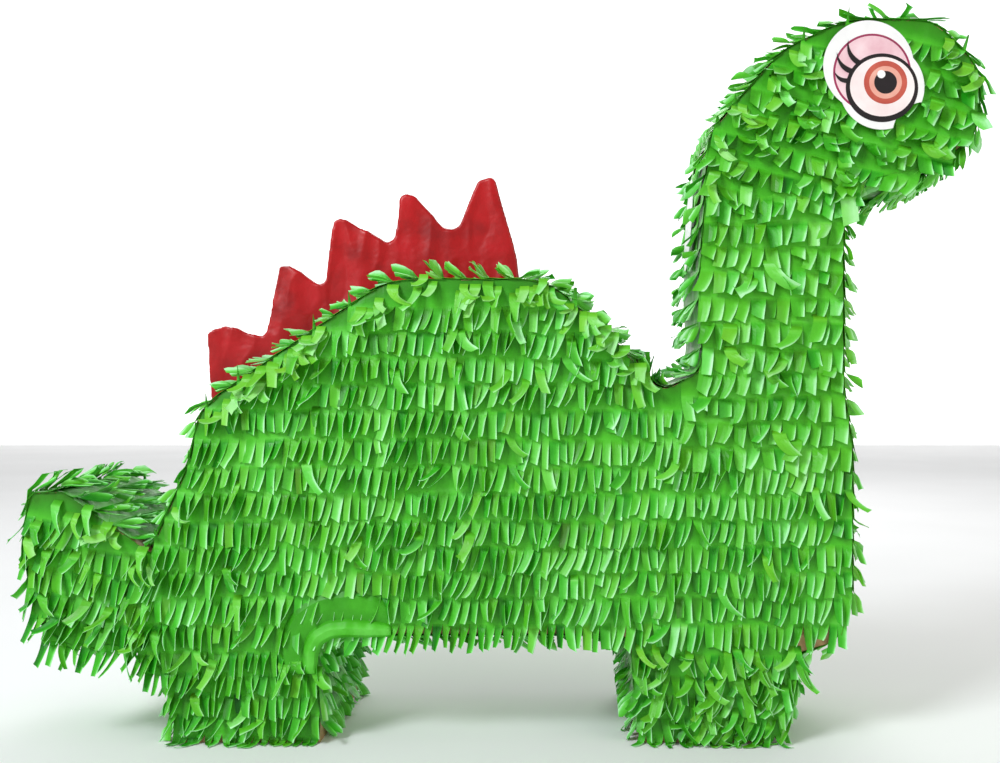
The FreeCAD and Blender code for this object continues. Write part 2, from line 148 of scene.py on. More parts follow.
PANEL_FACE_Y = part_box("side_panel_near")[0].y
HALF_DEPTH = -PANEL_FACE_Y
OUTLINE = Outline(flat_rim("side_panel_near", PANEL_FACE_Y))
EYE_RIM = flat_rim("eye_near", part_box("eye_near")[0].y)
EYE_MIDDLE = (EYE_RIM.min(0) + EYE_RIM.max(0)) / 2.0
PRESS_REACH = 1.12          # the sticker holds down a little more than it covers
PRESSED_RIM = EYE_MIDDLE + PRESS_REACH * (EYE_RIM - EYE_MIDDLE)
UNDER_EYE = 4.1 * MM        # the fringe's height there
LEAST_PROUD = 0.2 * MM      # paper stays this far off the card
MOST_PROUD = 11.5 * MM      # and no further than this


# ---------------------------------------------------------------- surfaces that carry fringe
class FaceSurface:
    """A side panel. Along runs down across the rows, across runs along a row."""

    def __init__(self, side, tilt):
        self.side = side
        angle = math.radians(tilt)
        self.right = np.array([math.cos(angle), math.sin(angle)])
        self.up = np.array([-math.sin(angle), math.cos(angle)])
        self.flip = side == FAR

    def to_row(self, x, z):
        return x * self.right[0] + z * self.right[1], x * self.up[0] + z * self.up[1]

    def flat(self, along, across):
        """x, z of a place on the panel."""
        return (across * self.right[0] - along * self.up[0],
                across * self.right[1] - along * self.up[1])

    def place(self, along, across, height):
        x, z = self.flat(along, across)
        y = self.side * (HALF_DEPTH + height)
        return np.stack([x, y, z], axis=-1)

    def press(self, along, across, height):
        """Heights with the fringe pressed flat under the eye sticker."""
        return np.where(under_eye(*self.flat(along, across)), np.minimum(height, UNDER_EYE), height)


class EdgeSurface:
    """The strips round the rim. Along follows the rim the way the fringe hangs, across is Y."""

    def __init__(self, start, way):
        self.start = start
        self.way = way
        self.flip = way > 0

    def place(self, along, across, height):
        distance = self.start + self.way * along
        spot = OUTLINE.point(distance) + OUTLINE.outward(distance) * height[..., None]
        return np.stack([spot[..., 0], across, spot[..., 1]], axis=-1)


# ---------------------------------------------------------------- paper fringe
class Look:
    """How one part's fringe is cut and ruffled, in millimetres and degrees."""

    def __init__(self, **changes):
        self.width = 5.0        # one tongue
        self.length = 15.0      # how deep the cuts are
        self.header = 17.0      # uncut paper above the cuts
        self.lean = 8.0         # degrees that tongues drift to the left
        self.lean_spread = 6.0
        self.twist = 16.0       # degrees that the right edge stands out
        self.twist_spread = 12.0
        self.curl = 0.42        # how far the right edge curls up, as a share of the width
        self.lift = 1.7         # how far the tips stand off
        self.lift_spread = 0.8
        self.point = 0.16       # how much narrower the tip is
        self.loose = 0.04       # share of tongues that are flipped out of line
        self.tone = 0.46        # 0 dark green, painted shade, to 1 mint, painted highlight, with the paper's own green in between
        self.warm = 0.12        # share of yellow-green
        self.__dict__.update(changes)

    def but(self, **changes):
        """The same look with some values changed."""
        return Look(**{**self.__dict__, **changes})


class Sheet:
    """Points, four-cornered faces and shades of one piece of fringe."""

    def __init__(self):
        self.points = []
        self.faces = []
        self.shades = []
        self.count = 0

    def add(self, points, faces, shades, flip):
        if flip:
            faces = faces[:, ::-1]
        self.points.append(points.reshape(-1, 3))
        self.shades.append(shades.reshape(-1, 4))
        self.faces.append(faces + self.count)
        self.count += len(self.points[-1])


WAVES = ((0.6, 1.0), (0.4, 2.3), (0.3, 4.9))        # share and frequency of each part of a wave


def wave(x, scale, rng):
    """A smooth random curve over x, about -1 to 1."""
    total = np.zeros_like(x)
    for share, frequency in WAVES:
        total += share * np.sin(x / scale * frequency + rng.uniform(0.0, 2.0 * math.pi))
    return total


def grid_faces(rows, columns):
    """Faces of a rows by columns grid of points."""
    i, j = np.meshgrid(np.arange(rows - 1), np.arange(columns - 1), indexing="ij")
    a = (i * columns + j).ravel()
    return np.stack([a, a + columns, a + columns + 1, a + 1], axis=1)


def shade(tone, warm, tip):
    """Per-point shade: tone, warmth and place along the tongue, packed as a colour."""
    tone, warm, tip = np.broadcast_arrays(tone, warm, tip)
    return np.stack([tone, warm, tip, np.ones_like(tone)], axis=-1).astype(float)


ACROSS = np.array([0.0, 0.36, 0.68, 0.87, 1.0])     # points across one tongue, as shares of its width
COLUMNS = len(ACROSS) - 1
STEPS = 6           # quads along it
PAPER = 0.16        # thickness of the two plies, in millimetres
HEADER_ROWS = 4     # points along the uncut paper
BEND_END = 0.45     # share of a tongue over which it turns out of the strip
SHORT_SHARE = 0.03  # tongues that are torn short
SHORT_LENGTH = 0.6  # what is left of them
CUT_JITTER = 0.16   # how far a cut strays, as a share of the tongue's width
# Painted highlight on each tongue's curled right edge and painted shade on its left edge, as tone added
# across the tongue.
EDGE_PAINTED_LIGHT_AND_SHADE = np.interp(ACROSS, [0.0, 0.6, 0.85, 1.0], [-0.12, 0.0, 0.34, 0.70])[None, None, :]


def ease(share):
    """0 to 1 with soft ends."""
    share = np.clip(share, 0.0, 1.0)
    return share * share * (3.0 - 2.0 * share)


def each(values):
    """One value a tongue, ready to spread over its steps and columns."""
    return values[:, None, None]


class Tongues:
    """The tongues of one row: random values, one of each a tongue, and the points they make."""

    along = np.linspace(1.0 / STEPS, 1.0, STEPS)[None, :, None]     # share of the tongue's length
    across = (ACROSS - 0.5)[None, None, :]                          # share of its width, from its middle

    def __init__(self, cuts, look, rng):
        count = len(cuts) - 1
        normal = rng.standard_normal
        self.middle = (cuts[:-1] + cuts[1:]) / 2.0
        self.width = cuts[1:] - cuts[:-1]
        loose = rng.random(count) < look.loose
        drift = wave(self.middle, 30.0 * MM, rng)
        self.lean = look.lean + look.lean_spread * (0.7 * drift + 0.8 * normal(count))
        self.lean += loose * rng.uniform(-50.0, 50.0, count)
        self.twist = look.twist + look.twist_spread * (0.5 * drift + normal(count))
        self.twist += loose * rng.uniform(-90.0, 60.0, count)
        lift = look.lift + look.lift_spread * normal(count)
        self.lift = np.maximum(lift, 0.6) + loose * rng.uniform(1.0, 5.5, count)
        self.length = look.length * (1.0 + 0.09 * normal(count) + 0.07 * drift)
        self.length *= np.where(rng.random(count) < SHORT_SHARE, SHORT_LENGTH, 1.0)
        self.slant = rng.uniform(-0.35, 0.5, count)
        gap = np.clip(0.5 + 0.9 * wave(self.middle, 26.0 * MM, rng), 0.0, 1.6)
        self.taper = look.point * (0.3 + 1.9 * gap) * rng.uniform(0.5, 1.4, count)
        self.curl = look.curl * (0.25 + 0.9 * gap) * rng.uniform(0.6, 1.3, count)
        self.bow = rng.uniform(-0.16, 0.16, count)
        self.tone = look.tone + 0.10 * drift + 0.10 * normal(count)
        self.warm = look.warm + 0.12 * normal(count)

    def points(self, root):
        """Along, across and height of every point, by tongue, step and column."""
        t, width, bend = self.along, each(self.width), ease(self.along / BEND_END)
        angle = np.radians(each(self.lean)) * (0.35 + 0.65 * t)
        turn = np.radians(each(self.twist)) * bend * (0.55 + 0.45 * t)
        reach = each(self.length) * MM * t
        half = self.across * width * (1.0 - np.clip(each(self.taper), 0.0, 0.85) * t ** 2.5)
        roll = each(self.curl) * width * bend * (self.across + 0.5) ** 3
        height = each(self.lift) * MM * t ** 1.4 + half * np.sin(turn)
        height += 0.5 * width * np.abs(np.sin(turn)) + roll
        side = half * np.cos(turn) - 0.35 * roll
        along = root + reach * np.cos(angle) + side * np.sin(angle * bend) * 0.7
        along += each(self.slant) * half * (t > 0.99)
        across = each(self.middle) - reach * np.sin(angle) + side * np.cos(angle * bend)
        return along, across + each(self.bow) * reach * t, height

    def shades(self):
        """Painted highlight along the curled right edge and towards the tip, painted shade along the left
        edge and near the root.
        """
        t = self.along
        edge = EDGE_PAINTED_LIGHT_AND_SHADE * ease(t / BEND_END) * (0.4 + 0.6 * t) + 0.06 * (t - 0.5)
        return shade(each(self.tone) + edge, each(self.warm), t)


def header_height(columns, share, base, rng):
    """How far the uncut paper stands off: from its glued top, share 1, to the cuts, share 0."""
    ripple = 0.22 * MM * wave(columns, 5.0 * MM, rng) + 0.25 * MM * wave(columns, 17.0 * MM, rng)
    height = base * MM * (0.35 + 0.95 * (1.0 - share)) + ripple * (1.0 - share) * share * 2.5
    return np.maximum(height + ripple * (1.0 - share) * 0.5, LEAST_PROUD)


def comb_faces(count, width, picks):
    """Faces of a header and its tongues, which share the points of the header's last row."""
    first = HEADER_ROWS * width
    root_ids = first - width + picks
    size = count * STEPS * (COLUMNS + 1)
    tongue_ids = first + np.arange(size).reshape(count, STEPS, COLUMNS + 1)
    ids = np.concatenate([root_ids[:, None, :], tongue_ids], axis=1)
    quads = np.stack([ids[:, :-1, :-1], ids[:, 1:, :-1], ids[:, 1:, 1:], ids[:, :-1, 1:]], axis=-1)
    return np.vstack([grid_faces(HEADER_ROWS, width), quads.reshape(-1, 4)])


def comb_row(sheet, surface, root, start, end, look, rng, top=None, press=None, base=1.0):
    """One strip of paper: uncut along its glued top, cut into tongues below root.

    top gives, for places across, how far up the paper reaches; press caps heights by place."""
    count = max(1, round((end - start) / (look.width * MM)))
    cuts = np.linspace(start, end, count + 1)
    cuts[1:-1] += rng.uniform(-CUT_JITTER, CUT_JITTER, count - 1) * look.width * MM
    inner = cuts[:-1, None] + (cuts[1:] - cuts[:-1])[:, None] * ACROSS[None, :-1]
    columns = np.append(inner.ravel(), cuts[-1])
    sag = 0.8 * MM * wave(columns, 40.0 * MM, rng)
    header = look.header * MM * np.ones_like(columns)
    if top is not None:
        header = np.minimum(header, np.maximum(top(columns, root + sag), 0.5 * MM))
    share = np.linspace(1.0, 0.0, HEADER_ROWS)[:, None]
    along = root + sag - header * share
    height = header_height(columns, share, base, rng)
    tongues = Tongues(cuts, look, rng)
    picks = COLUMNS * np.arange(count)[:, None] + np.arange(COLUMNS + 1)[None, :]
    below_along, below_across, stand = tongues.points(root)
    below_along = below_along + sag[picks][:, None, :]
    below_height = height[-1][picks][:, None, :] + stand
    # Painted shade: the uncut paper is darker towards its glued top, under the tongues of the row above. The
    # wave is random tone.
    tone = look.tone + 0.06 + 0.05 * wave(columns, 25.0 * MM, rng) - 0.40 * share ** 0.6
    shades = [shade(tone, look.warm, 0.0), tongues.shades()]

    def joined(header_values, tongue_values):
        return np.concatenate([np.broadcast_to(header_values, along.shape).ravel(), tongue_values.ravel()])

    all_along = joined(along, below_along)
    all_across = joined(columns, below_across)
    all_height = joined(height, below_height)
    if press is not None:
        all_height = press(all_along, all_across, all_height)
    points = surface.place(all_along, all_across, np.clip(all_height, LEAST_PROUD, MOST_PROUD))
    sheet.add(lay_on_ground(points), comb_faces(count, len(columns), picks),
              np.vstack([part.reshape(-1, 4) for part in shades]), surface.flip)


def lay_on_ground(points):
    """Paper that would reach below the ground bends outwards on it instead."""
    lowest = 0.7 * MM
    most_outwards = 3.0 * MM
    below = np.maximum(lowest - points[..., 2], 0.0)
    points[..., 2] += below
    points[..., 1] += np.minimum(0.5 * below, most_outwards) * np.sign(points[..., 1])
    deepest = HALF_DEPTH + MOST_PROUD
    points[..., 1] = np.clip(points[..., 1], -deepest, deepest)
    return points


def new_object(name, data):
    """An object for a mesh, lamp or camera, in the scene."""
    item = bpy.data.objects.new(name, data)
    bpy.context.scene.collection.objects.link(item)
    return item


def new_mesh(name, points, faces, material=None):
    mesh = bpy.data.meshes.new(name)
    mesh.from_pydata(points, [], faces)
    if material is not None:
        mesh.materials.append(material)
    return mesh


def paper_object(name, sheet, body, replaced):
    """A thin closed sheet of green tissue from the gathered points."""
    points = np.vstack(sheet.points)
    mesh = new_mesh(name, points.tolist(), np.vstack(sheet.faces).tolist(), TISSUE)
    attribute = mesh.attributes.new("shade", "FLOAT_COLOR", "POINT")
    attribute.data.foreach_set("color", np.vstack(sheet.shades).astype(np.float32).ravel())
    piece = new_object(name, mesh)
    solid = piece.modifiers.new("thickness", "SOLIDIFY")
    solid.thickness = PAPER * MM
    solid.offset = 0.0
    return finish_piece(piece, body, replaced)


def finish_piece(piece, body, replaced):
    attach(piece, body)
    if replaced:
        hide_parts(*replaced)
    return piece


# ---------------------------------------------------------------- where the fringe goes
def runs(mask):
    """First and last index of each stretch of True."""
    edges = np.flatnonzero(np.diff(np.concatenate([[0], mask.astype(int), [0]])))
    return list(zip(edges[::2], edges[1::2] - 1))


def under_eye(x, z):
    """True where the eye sticker presses on the fringe."""
    return within(PRESSED_RIM, x, z)


class Patch:
    """The fringe on one part of a side panel. Lengths in millimetres."""

    def __init__(self, name, window, first, pitch, look, growth=0.0, tilt=0.0, scraps=0, rim_scraps=0):
        self.name = name
        self.window = window            # true where the part is
        self.first = first              # the lowest row's tips
        self.pitch = pitch              # from that row to the next
        self.look = look
        self.growth = growth            # how much the pitch grows a row
        self.tilt = tilt                # degrees
        self.scraps = scraps            # loose tongues that cross the rows
        self.rim_scraps = rim_scraps    # and those just below a rim that faces up


def paper_above(surface, across, along):
    """Paper left above each place before the panel's rim, in steps of a millimetre."""
    step = 1.0 * MM
    most = 25           # steps looked at
    entry = 10          # a place outside the rim may still enter it within this many
    free = np.zeros_like(across)
    still = np.ones(across.shape, bool)
    entered = OUTLINE.inside(*surface.flat(along, across))
    for k in range(1, most + 1):
        inside = OUTLINE.inside(*surface.flat(along - k * step, across))
        entered |= inside
        still &= inside | (~entered & (k < entry))
        free += still * step
    return free + 0.8 * MM


ROW_STARTS = (0.0, 4.0, 8.0)        # millimetres above its root, where a row may enter the part


def face_rows(sheet, surface, patch, rng):
    """Rows over one part of a side panel, from the lowest up."""
    look = patch.look
    overhang = 1.0 * MM         # a row reaches this far past the part at each end
    corners_u, corners_v = surface.to_row(OUTLINE.loop[:, 0], OUTLINE.loop[:, 1])
    u = np.arange(corners_u.min(), corners_u.max(), 1.0 * MM)
    tips = patch.first * MM
    space = patch.pitch * MM

    def held(along):
        x, z = surface.flat(along, u)
        return OUTLINE.inside(x, z) & patch.window(x, z)

    def top(across, along):
        return paper_above(surface, across, along)

    while tips < corners_v.max():
        root = -(tips + look.length * MM)
        places = np.any([held(root - above * MM) for above in ROW_STARTS], axis=0)
        for first_index, last_index in runs(places):
            start, end = u[first_index], u[last_index]
            if end - start > 1.5 * look.width * MM:
                comb_row(sheet, surface, root, start - overhang, end + overhang, look, rng,
                         top=top, press=surface.press)
        tips += space * (1.0 + 0.05 * rng.standard_normal())
        space += patch.growth * MM


TONGUE_PLACES = (-6.0, 0.0, 8.0, 16.0)      # millimetres below its root, where a scrap has to miss the eye


def scraps(sheet, surface, window, look, rng, number, spread=55.0):
    """Loose tongues that cross the rows of one part of a panel, each glued at its root."""
    tries = 60 * number
    root_margin = 6.0 * MM
    low, high = OUTLINE.loop.min(0), OUTLINE.loop.max(0)
    x = rng.uniform(low[0], high[0], tries)
    z = rng.uniform(low[1], high[1], tries)
    fits = OUTLINE.inside(x, z) & window(x, z) & OUTLINE.inside(x, z - root_margin)
    for below_root in TONGUE_PLACES:
        fits &= ~under_eye(x, z - below_root * MM)
    across_all, up_all = surface.to_row(x[fits][:number], z[fits][:number])
    for along, across in zip(-up_all, across_all):
        size = look.width * MM * rng.uniform(0.8, 1.3)
        one = look.but(width=size / MM, header=3.0, lean_spread=0.0, loose=0.0,
                       lean=rng.uniform(-spread, spread),
                       lift=look.lift * rng.uniform(0.8, 2.2),
                       length=look.length * rng.uniform(0.6, 1.1),
                       tone=look.tone + rng.uniform(-0.05, 0.22),
                       warm=look.warm + rng.uniform(0.0, 0.3))
        comb_row(sheet, surface, along, across, across + size, one, rng, press=surface.press, base=3.2)


def edge_rows(sheet, node, way, look, rng, bands):
    """Rows across one edge strip, hanging the way given along the rim, in bands of Y."""
    low, high = OUTLINE.span(node)
    length = high - low
    count = max(1, round(length / EDGE_PITCH))
    step = length / count
    surface = EdgeSurface(low if way > 0 else high, way)
    for k in range(count):
        root = (k + 1) * step - look.length * MM
        root += rng.uniform(-1.0, 1.0) * MM
        for start, end in bands:
            comb_row(sheet, surface, root, start, end, look, rng)


# ---------------------------------------------------------------- materials
def new_material(name):
    material = bpy.data.materials.new(name)
    material.use_nodes = True
    nodes = material.node_tree.nodes
    return material, nodes, material.node_tree.links, nodes["Principled BSDF"]


def add_node(nodes, kind, **values):
    node = nodes.new(kind)
    for key, value in values.items():
        if key in node.inputs:
            node.inputs[key].default_value = value
        else:
            setattr(node, key, value)
    return node


def ramp_node(nodes, stops):
    node = nodes.new("ShaderNodeValToRGB")
    ramp = node.color_ramp
    ramp.elements[0].position, ramp.elements[0].color = stops[0]
    ramp.elements[1].position, ramp.elements[1].color = stops[-1]
    for position, value in stops[1:-1]:
        ramp.elements.new(position).color = value
    return node


def noise_node(nodes, links, scale, detail=4.0, stretch=(1.0, 1.0, 1.0), roughness=0.55):
    """Noise in the object's own space, in cells per metre."""
    place = nodes.new("ShaderNodeTexCoord")
    mapping = nodes.new("ShaderNodeMapping")
    mapping.inputs["Scale"].default_value = stretch
    links.new(place.outputs["Object"], mapping.inputs["Vector"])
    node = add_node(nodes, "ShaderNodeTexNoise", Scale=scale, Detail=detail, Roughness=roughness)
    links.new(mapping.outputs["Vector"], node.inputs["Vector"])
    return node


def feed(links, socket, value):
    """Link a socket to an output, or set it to a value."""
    if hasattr(value, "node"):
        links.new(value, socket)
    else:
        socket.default_value = value


def mix_colors(nodes, links, factor, a, b):
    """A mix of two colour sockets or values."""
    node = nodes.new("ShaderNodeMix")
    node.data_type = "RGBA"
    for name, value in (("Factor_Float", factor), ("A_Color", a), ("B_Color", b)):
        feed(links, next(socket for socket in node.inputs if socket.identifier == name), value)
    return next(socket for socket in node.outputs if socket.identifier == "Result_Color")


def math_node(nodes, links, operation, *values, clamp=False):
    node = nodes.new("ShaderNodeMath")
    node.operation = operation
    node.use_clamp = clamp
    for socket, value in zip(node.inputs, values):
        feed(links, socket, value)
    return node.outputs[0]


def add_bump(nodes, links, shader, height, strength, distance):
    bump = add_node(nodes, "ShaderNodeBump", Strength=strength, Distance=distance)
    links.new(height, bump.inputs["Height"])
    links.new(bump.outputs["Normal"], shader.inputs["Normal"])
    return bump


def tissue_material():
    """Green tissue: toned tongue by tongue from painted shade to painted highlight, finely crinkled, with a
    soft satin shine.
    """
    material, nodes, links, shader = new_material("green_tissue_paper")
    attribute = add_node(nodes, "ShaderNodeAttribute", attribute_name="shade")
    parts = nodes.new("ShaderNodeSeparateColor")
    links.new(attribute.outputs["Color"], parts.inputs["Color"])
    mottle = noise_node(nodes, links, scale=90.0, detail=5.0)
    swing = math_node(nodes, links, "MULTIPLY_ADD", mottle.outputs["Fac"], 0.34, -0.17)
    tone = math_node(nodes, links, "ADD", parts.outputs["Red"], swing, clamp=True)
    # The ramp's dark end is painted shade and its mint end painted highlight. The paper's own green lies in
    # the middle.
    greens = ramp_node(nodes, [
        (0.0, color(2, 84, 0)),
        (0.25, color(26, 138, 10)),
        (0.5, color(64, 182, 34)),
        (0.72, color(106, 214, 84)),
        (1.0, color(186, 250, 190)),
    ])
    links.new(tone, greens.inputs["Fac"])
    warm = mix_colors(nodes, links, parts.outputs["Green"], greens.outputs["Color"],
                      color(126, 200, 40))
    links.new(warm, shader.inputs["Base Color"])
    grain = noise_node(nodes, links, scale=900.0, detail=3.0, stretch=(1.0, 1.0, 2.2))
    add_bump(nodes, links, shader, grain.outputs["Fac"], strength=0.35, distance=0.25 * MM)
    gloss = ramp_node(nodes, [(0.3, (0.34, 0.34, 0.34, 1.0)), (0.7, (0.52, 0.52, 0.52, 1.0))])
    links.new(mottle.outputs["Fac"], gloss.inputs["Fac"])
    links.new(gloss.outputs["Color"], shader.inputs["Roughness"])
    shader.inputs["Specular IOR Level"].default_value = 0.3
    return material


def card_material():
    """Kraft corrugated board: faint flute lines, fibres and scuffs."""
    material, nodes, links, shader = new_material("kraft_card")
    fibre = noise_node(nodes, links, scale=260.0, detail=6.0, stretch=(1.0, 1.0, 5.0))
    tint = ramp_node(nodes, [(0.25, color(150, 112, 70)), (0.75, color(196, 158, 112))])
    links.new(fibre.outputs["Fac"], tint.inputs["Fac"])
    links.new(tint.outputs["Color"], shader.inputs["Base Color"])
    place = nodes.new("ShaderNodeTexCoord")
    flutes = add_node(nodes, "ShaderNodeTexWave", Scale=42.0, Distortion=0.4)
    links.new(place.outputs["Object"], flutes.inputs["Vector"])
    height = math_node(nodes, links, "MULTIPLY_ADD", flutes.outputs["Fac"], 0.5, fibre.outputs["Fac"])
    add_bump(nodes, links, shader, height, strength=0.3, distance=0.3 * MM)
    shader.inputs["Roughness"].default_value = 0.86
    return material


def tape_material():
    """Gummed paper tape: a little darker and smoother than the card."""
    material, nodes, links, shader = new_material("gummed_paper")
    streaks = noise_node(nodes, links, scale=120.0, detail=5.0, stretch=(1.0, 4.0, 1.0))
    tint = ramp_node(nodes, [(0.3, color(170, 130, 84)), (0.7, color(204, 168, 122))])
    links.new(streaks.outputs["Fac"], tint.inputs["Fac"])
    links.new(tint.outputs["Color"], shader.inputs["Base Color"])
    wrinkles = noise_node(nodes, links, scale=380.0, detail=4.0)
    add_bump(nodes, links, shader, wrinkles.outputs["Fac"], strength=0.3, distance=0.2 * MM)
    shader.inputs["Roughness"].default_value = 0.55
    return material


def red_material():
    """Red crinkled paper with a waxy shine."""
    material, nodes, links, shader = new_material("red_crinkled_paper")
    mottle = noise_node(nodes, links, scale=55.0, detail=6.0)
    reds = ramp_node(nodes, [
        (0.25, color(140, 0, 3)),
        (0.5, color(178, 2, 6)),
        (0.8, color(200, 10, 24)),
    ])
    links.new(mottle.outputs["Fac"], reds.inputs["Fac"])
    links.new(reds.outputs["Color"], shader.inputs["Base Color"])
    creases = add_node(nodes, "ShaderNodeTexVoronoi", Scale=95.0, feature="DISTANCE_TO_EDGE")
    place = nodes.new("ShaderNodeTexCoord")
    warp = noise_node(nodes, links, scale=60.0, detail=3.0)
    bent = nodes.new("ShaderNodeVectorMath")
    bent.operation = "MULTIPLY_ADD"
    bent.inputs[1].default_value = (0.012, 0.012, 0.012)
    links.new(warp.outputs["Color"], bent.inputs[0])
    links.new(place.outputs["Object"], bent.inputs[2])
    links.new(bent.outputs["Vector"], creases.inputs["Vector"])
    height = math_node(nodes, links, "MULTIPLY_ADD", creases.outputs["Distance"], 1.6, mottle.outputs["Fac"])
    add_bump(nodes, links, shader, height, strength=0.3, distance=0.6 * MM)
    shader.inputs["Roughness"].default_value = 0.42
    shader.inputs["Specular IOR Level"].default_value = 0.35
    shader.inputs["Coat Weight"].default_value = 0.12
    shader.inputs["Coat Roughness"].default_value = 0.2
    return material


def printed_material(name, light, dark, scale=60.0, roughness=0.3):
    """Printed vinyl paper: one ink with a faint grain, under a satin film."""
    material, nodes, links, shader = new_material(name)
    grain = noise_node(nodes, links, scale=scale, detail=5.0)
    tint = ramp_node(nodes, [(0.3, dark), (0.7, light)])
    links.new(grain.outputs["Fac"], tint.inputs["Fac"])
    links.new(tint.outputs["Color"], shader.inputs["Base Color"])
    fine = noise_node(nodes, links, scale=1400.0, detail=2.0)
    add_bump(nodes, links, shader, fine.outputs["Fac"], strength=0.06, distance=0.05 * MM)
    shader.inputs["Roughness"].default_value = roughness
    shader.inputs["Coat Weight"].default_value = 0.3
    shader.inputs["Coat Roughness"].default_value = 0.2
    return material


TISSUE = tissue_material()
CARD_BOARD = card_material()
TAPE_PAPER = tape_material()
RED_PAPER = red_material()


# ---------------------------------------------------------------- the parts of the fringe
def box_window(low_x, low_z, high_x, high_z):
    def window(x, z):
        return (x > low_x * MM) & (x < high_x * MM) & (z > low_z * MM) & (z < high_z * MM)
    return window


def all_of(*tests):
    def window(x, z):
        result = tests[0](x, z)
        for test in tests[1:]:
            result = result & test(x, z)
        return result
    return window


def without(test):
    return lambda x, z: ~test(x, z)


def under_top_rim(x, z):
    """True just below a rim that faces up."""
    depth = 11.0 * MM
    return ~OUTLINE.inside(x, z + depth)


BIG = 1000.0        # past every rim, in millimetres
TAIL_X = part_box("fringe_tail_near")[1].x / MM
NECK_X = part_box("fringe_neck_near")[0].x / MM
HEAD_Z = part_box("fringe_head_near")[0].z / MM
LEG_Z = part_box("fringe_body_near")[0].z / MM
HUMP_FOOT_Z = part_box("fringe_hump_near")[0].z / MM
NECK_FOOT_Z = 160.0         # the neck's fringe starts here
LEG_SPLIT_X = 0.0           # between the legs

LAP = 3.0           # parts cover each other by this much
NECK_LAP = 4.0
NECK_PART = box_window(NECK_X, NECK_FOOT_Z, BIG, HEAD_Z + NECK_LAP)
HEAD_PART = box_window(NECK_X, HEAD_Z, BIG, BIG)
TAIL_PART = box_window(-BIG, -BIG, TAIL_X + LAP, BIG)
TRUNK = all_of(without(NECK_PART), without(HEAD_PART), box_window(TAIL_X - LAP, -BIG, BIG, BIG))

FACE_FRINGES = [
    Patch("tail", TAIL_PART, first=12.0, pitch=14.5, tilt=-7.0, scraps=22, rim_scraps=24,
          look=Look(width=4.8, tone=0.42, loose=0.08, lift=2.2, lean_spread=9.0)),
    Patch("rear_leg", all_of(TRUNK, box_window(-BIG, -BIG, LEG_SPLIT_X, LEG_Z)),
          first=-9.0, pitch=12.0, scraps=18,
          look=Look(header=26.0, width=4.6, length=13.5, tone=0.38, loose=0.13, lift=2.4, lean_spread=11.0)),
    Patch("front_leg", all_of(TRUNK, box_window(LEG_SPLIT_X, -BIG, BIG, LEG_Z)),
          first=-9.0, pitch=12.0, scraps=50,
          look=Look(header=26.0, width=4.4, length=14.0, tone=0.38, loose=0.28, lift=3.2, lean_spread=22.0)),
    Patch("body", all_of(TRUNK, box_window(-BIG, LEG_Z, BIG, HUMP_FOOT_Z)),
          first=53.0, pitch=14.2, growth=0.27, scraps=16, rim_scraps=16, look=Look()),
    Patch("hump", all_of(TRUNK, box_window(-BIG, HUMP_FOOT_Z, BIG, BIG)),
          first=190.0, pitch=15.0, scraps=16, rim_scraps=95, look=Look(width=5.4, length=14.6)),
    Patch("neck", NECK_PART, first=155.0, pitch=14.6, scraps=14,
          look=Look(width=7.4, length=13.5, curl=0.24, lean=7.0, tone=0.48, warm=0.18, loose=0.06)),
    Patch("head", HEAD_PART, first=250.0, pitch=15.0, tilt=-14.0, scraps=40, rim_scraps=40,
          look=Look(width=6.6, length=11.0, lean_spread=18.0, curl=0.25, tone=0.45, loose=0.16)),
]


def build_face_fringes():
    for index, patch in enumerate(FACE_FRINGES):
        over_rim = all_of(patch.window, under_top_rim)
        # Tongues just below a rim that faces up are set lighter and yellower, as painted light from above.
        rim_look = patch.look.but(width=5.4, length=11.0, warm=0.35, tone=0.60, lift=2.6)
        for side, suffix in SIDES:
            rng = np.random.default_rng([SEED, index, side + 1])
            sheet = Sheet()
            surface = FaceSurface(side, patch.tilt)
            face_rows(sheet, surface, patch, rng)
            scraps(sheet, surface, patch.window, patch.look, rng, patch.scraps)
            if patch.rim_scraps:
                scraps(sheet, surface, over_rim, rim_look, rng, patch.rim_scraps, spread=75.0)
            paper_object(f"tissue_{patch.name}_{suffix}", sheet, "pinata", [f"fringe_{patch.name}_{suffix}"])


OVER_SEAM = HALF_DEPTH + 1.6 * MM
FULL_DEPTH = [(-OVER_SEAM, OVER_SEAM)]
CREST_SIDE = 3.4 * MM
BESIDE_CREST = [(-OVER_SEAM, -CREST_SIDE), (CREST_SIDE, OVER_SEAM)]
EDGE_PITCH = 14.0 * MM
EDGE_LOOK = Look(lift=3.0, lift_spread=1.5, twist=12.0, twist_spread=24.0, lean=0.0, lean_spread=15.0,
                 loose=0.12, width=5.4, length=11.5, point=0.2)

